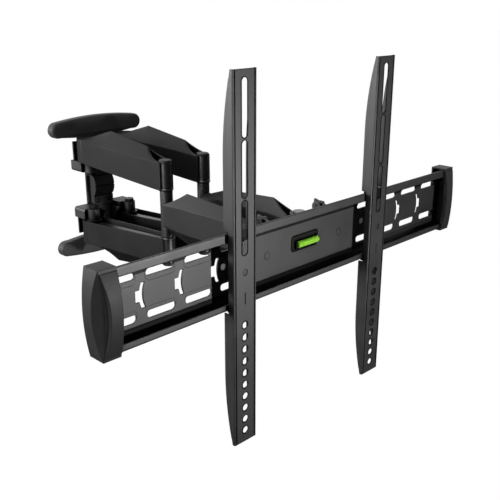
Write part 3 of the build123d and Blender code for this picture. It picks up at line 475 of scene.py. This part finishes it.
# hem under the rail's top lip
hemLook = {"ends": (-307.5, 307.5),
           "profile": ((-461.9, 47.9), (-462.06, 47.7), (-462.06, 38.0), (-461.4, 37.4), (-460.4, 37.4),
                       (-459.8, 38.0), (-459.8, 40.2), (-460.5, 41.0), (-461.0, 42.0))}
hem = bmesh.new()
joinRings(hem, [addRing(hem, [(x, y, z) for y, z in hemLook["profile"]]) for x in hemLook["ends"]])
addTrim("lipHem", hem, sillFinish)

# fuller bow on the front of the end caps
browLook = {"end": 311.9, "inner": 290.9, "front": -464.0, "bow": 3.5, "facet": 6.33, "rise": 4.2,
            "lean": 0.9, "sink": 0.3, "middle": 3.0, "half": 47.0, "steps": 24}


def capBrow(bm, side):
    rings = []
    for k in range(1, browLook["steps"]):
        t = 2.0 * k / browLook["steps"] - 1.0
        full = 1.0 - t * t
        z = browLook["middle"] + t * browLook["half"]
        back = browLook["front"] - browLook["bow"] * full
        raised, sunk = back - browLook["rise"] * full, back + browLook["sink"]
        outer = browLook["end"] - browLook["facet"] * full
        corners = ((outer, sunk), (outer - browLook["lean"] * full, raised),
                   (browLook["inner"], raised), (browLook["inner"], sunk))
        rings.append(addRing(bm, [(side * x, y, z) for x, y in corners]))
    joinRings(bm, rings)


for name, side in sides.items():
    brow = bmesh.new()
    capBrow(brow, side)
    addTrim("capBrow" + name.title(), brow, browFinish)

# collars at the inner ends of the elbow hubs
collarLook = {"x": 34.5, "y": -221.0, "segments": 36,
              "profile": ((8.8, 34.2), (9.9, 34.2), (10.4, 34.9), (10.4, 36.4), (9.9, 37.2), (8.8, 37.4))}


def elbowCollar(bm, side, up):
    rings = []
    for k in range(collarLook["segments"]):
        a = 2.0 * math.pi * k / collarLook["segments"]
        corners = [(side * collarLook["x"] + r * math.cos(a), collarLook["y"] + r * math.sin(a), up * z)
                   for r, z in collarLook["profile"]]
        rings.append(addRing(bm, corners))
    joinRings(bm, rings, closed=True)


for name, side in sides.items():
    collars = bmesh.new()
    for up in (-1, 1):
        elbowCollar(collars, side, up)
    addTrim("elbowCollars" + name.title(), collars, finishes["pin_steel"], "rear_arm_" + name)

# fuller inner edge on the two wall covers
apronLook = {"half": 76.0, "edge": 84.5, "bow": 5.5, "inside": 92.0, "steps": 28,
             "layers": ((-0.5, 0.0), (-9.0, 0.0), (-11.2, 0.8), (-12.4, 2.6))}


def coverApron(bm, up):
    rings = []
    for y, inset in apronLook["layers"]:
        half = apronLook["half"] - inset
        points = []
        for k in range(apronLook["steps"] + 1):
            t = 2.0 * k / apronLook["steps"] - 1.0
            points.append((half * t, apronLook["edge"] - apronLook["bow"] * (1.0 - t * t) + inset))
        points += [(half, apronLook["inside"]), (-half, apronLook["inside"])]
        rings.append(addRing(bm, [(x, y, up * z) for x, z in points]))
    joinRings(bm, rings)


for up, name in ((1, "topApron"), (-1, "bottomApron")):
    apron = bmesh.new()
    coverApron(apron, up)
    addTrim(name, apron, wallLitFinish, "wall")

# deeper back edge on the flanges of the TV brackets
skirtLook = {"face": -472.0, "inner": 16.25, "outer": 17.55, "lap": 2.2, "deep": 13.5, "tip": 4.0,
             "more": 0.19, "steps": 32, "end": 0.95, "runs": ((50.7, 126.8, 220.0), (-44.7, -119.0, -210.0))}


def flangeSkirt(bm, x, side, run):
    near, bend, far = run
    drop, reach = skirtLook["deep"] - skirtLook["tip"], abs(far - bend)
    radius = (reach ** 2 + drop ** 2) / (2.0 * drop)
    rings = []
    for k in range(skirtLook["steps"] + 1):
        z = near + (far - near) * skirtLook["end"] * k / skirtLook["steps"]
        past = max(abs(z) - abs(bend), 0.0)
        depth = skirtLook["deep"] - radius + math.sqrt(radius ** 2 - past ** 2)
        front = skirtLook["face"] + depth - skirtLook["lap"]
        back = skirtLook["face"] + depth + skirtLook["more"] * (depth - skirtLook["tip"])
        corners = ((skirtLook["outer"], front), (skirtLook["outer"], back),
                   (skirtLook["inner"], back), (skirtLook["inner"], front))
        rings.append(addRing(bm, [(x + side * a, y, z) for a, y in corners]))
    joinRings(bm, rings)


for name, middle in bracketMiddles.items():
    skirts = bmesh.new()
    for side in sides.values():
        for run in skirtLook["runs"]:
            flangeSkirt(skirts, middle / mm, side, run)
    addTrim("flangeSkirts" + name.title(), skirts, skirtFinish, "bracket_" + name)
print("trim made")


# floor and studio light

floorLook = {"height": -0.9, "half": 30.0, "colour": (0.93, 0.93, 0.93), "rough": 0.9, "keep": 0.04,
             "glow": 1.036}
flagLook = {"front": -3.0, "back": 0.2, "half": 5.0, "low": -0.8, "top": 2.5, "colour": (0.01, 0.01, 0.01),
            "rough": 1.0}


def sheetMesh(name, corners, faces):
    mesh = bpy.data.meshes.new(name)
    mesh.from_pydata(corners, [], faces)
    sheet = bpy.data.objects.new(name, mesh)
    scene.collection.objects.link(sheet)
    return sheet


def makeFloor():
    half, low = floorLook["half"], floorLook["height"]
    corners = [(-half, -half, low), (half, -half, low), (half, half, low), (-half, half, low)]
    floor = sheetMesh("studioFloor", corners, [(0, 1, 2, 3)])
    material, tree, shader = newMaterial("studioFloorPaint")
    shader.inputs["Base Color"].default_value = (*floorLook["colour"], 1.0)
    shader.inputs["Roughness"].default_value = floorLook["rough"]
    shader.inputs["Specular IOR Level"].default_value = 0.0
    glow = addNode(tree, "ShaderNodeEmission")
    glow.inputs["Strength"].default_value = floorLook["glow"]
    path = addNode(tree, "ShaderNodeLightPath")
    seen = mathNode(tree, "MAXIMUM", path.outputs["Is Camera Ray"], path.outputs["Is Transmission Ray"])
    mix = addNode(tree, "ShaderNodeMixShader")
    tree.links.new(mathNode(tree, "MULTIPLY", seen, 1.0 - floorLook["keep"]), mix.inputs[0])
    tree.links.new(shader.outputs[0], mix.inputs[1])
    tree.links.new(glow.outputs[0], mix.inputs[2])
    tree.links.new(mix.outputs[0], tree.nodes["Material Output"].inputs["Surface"])
    floor.data.materials.append(material)


def makeFlag():
    # dark cloth in front of, over and under the object, seen by reflections alone
    front, back, half, low, high = (flagLook[key] for key in ("front", "back", "half", "low", "top"))
    corners = [(-half, front, low), (half, front, low), (half, front, high), (-half, front, high),
               (half, back, high), (-half, back, high), (half, -front, low), (-half, -front, low)]
    flag = sheetMesh("darkFlag", corners, [(0, 1, 2, 3), (3, 2, 4, 5), (0, 1, 6, 7)])
    material, _, shader = newMaterial("darkFlagCloth")
    shader.inputs["Base Color"].default_value = (*flagLook["colour"], 1.0)
    shader.inputs["Roughness"].default_value = flagLook["rough"]
    shader.inputs["Specular IOR Level"].default_value = 0.0
    flag.data.materials.append(material)
    flag.visible_camera = flag.visible_diffuse = flag.visible_shadow = flag.visible_transmission = False


makeFloor()
makeFlag()

worldLook = {"ambient": 0.06, "seen": 1.0, "colour": (1.0, 1.0, 1.0)}
world = bpy.data.worlds.new("studioWorld")
scene.world = world
world.use_nodes = True
worldTree = world.node_tree
sky = worldTree.nodes["Background"]
path = addNode(worldTree, "ShaderNodeLightPath")
seen = mathNode(worldTree, "MAXIMUM", path.outputs["Is Camera Ray"], path.outputs["Is Glossy Ray"])
seen = mathNode(worldTree, "MAXIMUM", seen, path.outputs["Is Transmission Ray"])
strength = addNode(worldTree, "ShaderNodeMix", data_type="FLOAT")
strength.inputs[2].default_value = worldLook["ambient"]  # for rays that light the object
strength.inputs[3].default_value = worldLook["seen"]  # for rays that show the background
worldTree.links.new(seen, strength.inputs["Factor"])
worldTree.links.new(strength.outputs[0], sky.inputs["Strength"])
sky.inputs["Color"].default_value = (*worldLook["colour"], 1.0)

lampLook = {
    "keyLamp": {"place": (0.15, -1.26, -0.07), "aim": (0.0, -0.46, 0.0), "size": 0.07, "power": 6.0},
    "backLamp": {"place": (-1.3, 0.75, 0.36), "aim": (0.0, -0.4, 0.1), "size": 0.5, "power": 17.0},
    "sideLamp": {"place": (-1.6, -0.35, 0.15), "aim": (0.0, -0.22, 0.05), "size": 0.5, "power": 5.0},
    "topFill": {"place": (-1.6, -0.6, 1.8), "aim": (0.0, -0.25, 0.0), "size": 1.4, "power": 14.0},
}
for name, look in lampLook.items():
    lamp = bpy.data.lights.new(name, "AREA")
    lamp.shape = "DISK"
    lamp.size = look["size"]
    lamp.energy = look["power"]
    holder = bpy.data.objects.new(name, lamp)
    scene.collection.objects.link(holder)
    holder.location = look["place"]
    toward = Vector(look["aim"]) - holder.location
    holder.rotation_euler = toward.to_track_quat("-Z", "Y").to_euler()
    holder.visible_camera = False
print("studio lit")

cameraLook = {"place": (-0.6628, -1.0093, 0.2864), "down": 18.8, "yaw": 45.2, "lens": 53.28, "sensor": 36.0}
cameraData = bpy.data.cameras.new("photoCamera")
cameraData.lens = cameraLook["lens"]
cameraData.sensor_width = cameraLook["sensor"]
cameraObject = bpy.data.objects.new("photoCamera", cameraData)
scene.collection.objects.link(cameraObject)
cameraObject.location = cameraLook["place"]
pitch, turn = math.radians(90.0 - cameraLook["down"]), -math.radians(cameraLook["yaw"])
cameraObject.rotation_euler = (pitch, 0.0, turn)
scene.camera = cameraObject
scene.view_settings.view_transform = "Standard"
